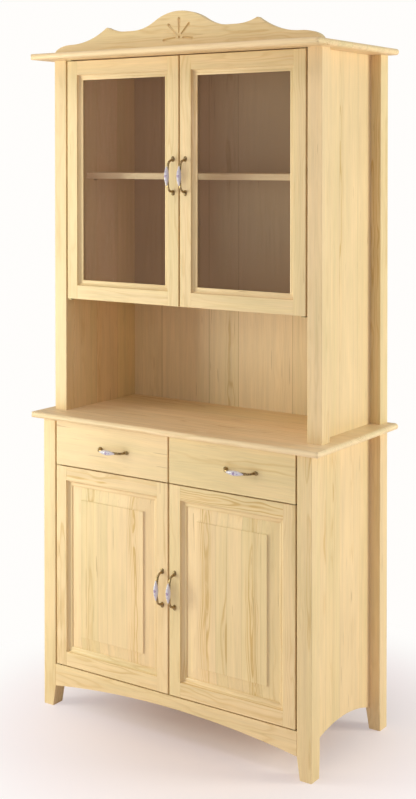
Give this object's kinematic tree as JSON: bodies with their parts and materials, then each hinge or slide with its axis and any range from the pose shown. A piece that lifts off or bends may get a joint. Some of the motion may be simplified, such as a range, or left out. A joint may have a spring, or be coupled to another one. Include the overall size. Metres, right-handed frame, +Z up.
{
  "type": "display cabinet",
  "caption": "Two-part pine dresser: glazed display cabinet with a carved crest above an open niche, on a base with drawers and panelled doors.",
  "frame": {"origin": "on the floor under the middle of the whole cabinet's box", "axes": "+X to the right as seen from the front, +Y into the cabinet from its front, +Z up"},
  "size_m": [0.998, 0.47, 2.059],
  "materials": {
    "pine": "light natural pine with a thin satin lacquer",
    "pine_panels": "light natural pine glued from staves, with a thin satin lacquer",
    "thin_boards": "plain pine boards, less finely finished",
    "bronze": "darkened antique brass, worn bright on its edges",
    "porcelain": "white glazed porcelain with a small painted flower",
    "glass": "clear flat glass",
    "steel": "plain zinc-plated steel"
  },
  "bodies": {
    "cabinet": {"lower_post_front_left": "pine", "lower_post_front_right": "pine", "lower_post_rear_left": "pine", "lower_post_rear_right": "pine", "lower_side_left": "pine_panels", "lower_side_right": "pine_panels", "front_apron": "pine", "lower_back": "thin_boards", "cupboard_floor": "pine", "cupboard_shelf": "pine", "drawer_rest_board": "pine", "drawer_divider": "pine", "countertop": "pine", "upper_post_front_left": "pine", "upper_post_front_right": "pine", "upper_post_rear_left": "pine", "upper_post_rear_right": "pine", "upper_side_left": "pine_panels", "upper_side_right": "pine_panels", "upper_back": "thin_boards", "display_floor": "pine", "display_shelf": "pine", "cornice_board": "pine", "crest_board": "pine", "shelf_pins": "steel", "pivot_hinges": "steel"},
    "upper_left_door": {"upper_left_door_stiles": "pine", "upper_left_door_rails": "pine", "upper_left_door_bead": "pine", "upper_left_door_glass": "glass", "upper_left_handle_bow": "bronze", "upper_left_handle_grip": "porcelain"},
    "upper_right_door": {"upper_right_door_stiles": "pine", "upper_right_door_rails": "pine", "upper_right_door_bead": "pine", "upper_right_door_glass": "glass", "upper_right_handle_bow": "bronze", "upper_right_handle_grip": "porcelain"},
    "lower_left_door": {"lower_left_door_stiles": "pine", "lower_left_door_rails": "pine", "lower_left_door_bead": "pine", "lower_left_door_panel": "pine_panels", "lower_left_handle_bow": "bronze", "lower_left_handle_grip": "porcelain"},
    "lower_right_door": {"lower_right_door_stiles": "pine", "lower_right_door_rails": "pine", "lower_right_door_bead": "pine", "lower_right_door_panel": "pine_panels", "lower_right_handle_bow": "bronze", "lower_right_handle_grip": "porcelain"},
    "left_drawer": {"drawer_left_front": "pine", "drawer_left_box": "pine", "drawer_left_bottom": "thin_boards", "drawer_left_handle_bow": "bronze", "drawer_left_handle_grip": "porcelain"},
    "right_drawer": {"drawer_right_front": "pine", "drawer_right_box": "pine", "drawer_right_bottom": "thin_boards", "drawer_right_handle_bow": "bronze", "drawer_right_handle_grip": "porcelain"}
  },
  "joints": [
    {"name": "upper_left_door_hinge", "type": "hinge", "parent": "cabinet", "child": "upper_left_door", "pos_m": [-0.407, -0.138, 1.57662], "axis": [0, 0, -1], "range_deg": [0, 105]},
    {"name": "lower_left_door_hinge", "type": "hinge", "parent": "cabinet", "child": "lower_left_door", "pos_m": [-0.407, -0.19, 0.429], "axis": [0, 0, -1], "range_deg": [0, 105]},
    {"name": "left_drawer_slide", "type": "slide", "parent": "cabinet", "child": "left_drawer", "axis": [0, -1, 0], "range_m": [0, 0.28]},
    {"name": "upper_right_door_hinge", "type": "hinge", "parent": "cabinet", "child": "upper_right_door", "pos_m": [0.407, -0.138, 1.57662], "axis": [0, 0, 1], "range_deg": [0, 105]},
    {"name": "lower_right_door_hinge", "type": "hinge", "parent": "cabinet", "child": "lower_right_door", "pos_m": [0.407, -0.19, 0.429], "axis": [0, 0, 1], "range_deg": [0, 105]},
    {"name": "right_drawer_slide", "type": "slide", "parent": "cabinet", "child": "right_drawer", "axis": [0, -1, 0], "range_m": [0, 0.28]}
  ]
}
